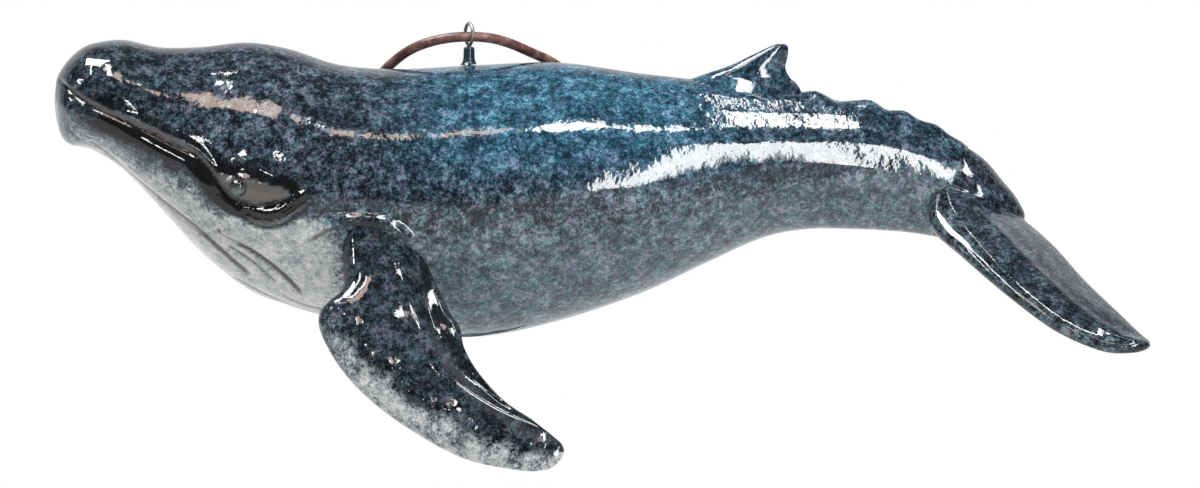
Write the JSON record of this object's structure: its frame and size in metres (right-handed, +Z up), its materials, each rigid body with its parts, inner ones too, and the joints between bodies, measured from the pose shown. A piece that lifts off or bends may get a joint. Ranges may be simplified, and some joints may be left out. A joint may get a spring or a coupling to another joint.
{
  "type": "whale ornament",
  "caption": "Hollow glazed ceramic humpback whale with pectoral fins, flukes and a wire eye on its back, hung from a knotted leather thong.",
  "frame": {"origin": "middle of the wire eye that the ornament hangs from", "axes": "+X towards the tail, +Z up as it hangs, -Y is the whale's left side, which the picture shows"},
  "size_m": [0.2393, 0.091, 0.0985],
  "materials": {
    "dark_glaze": "very glossy speckled glaze",
    "eye_glaze": "glossy black glaze",
    "kiln_wire": "dull, oxidised in the kiln",
    "thong_leather": "worn, slightly waxy"
  },
  "bodies": {
    "root": {"body_shell": "dark_glaze", "left_pectoral_fin": "dark_glaze", "right_pectoral_fin": "dark_glaze", "tail_flukes": "dark_glaze", "eye_stem": "dark_glaze", "left_eye": "eye_glaze", "right_eye": "eye_glaze", "wire_eye": "kiln_wire", "leather_cord": "thong_leather", "cord_knot": "thong_leather"}
  },
  "joints": []
}
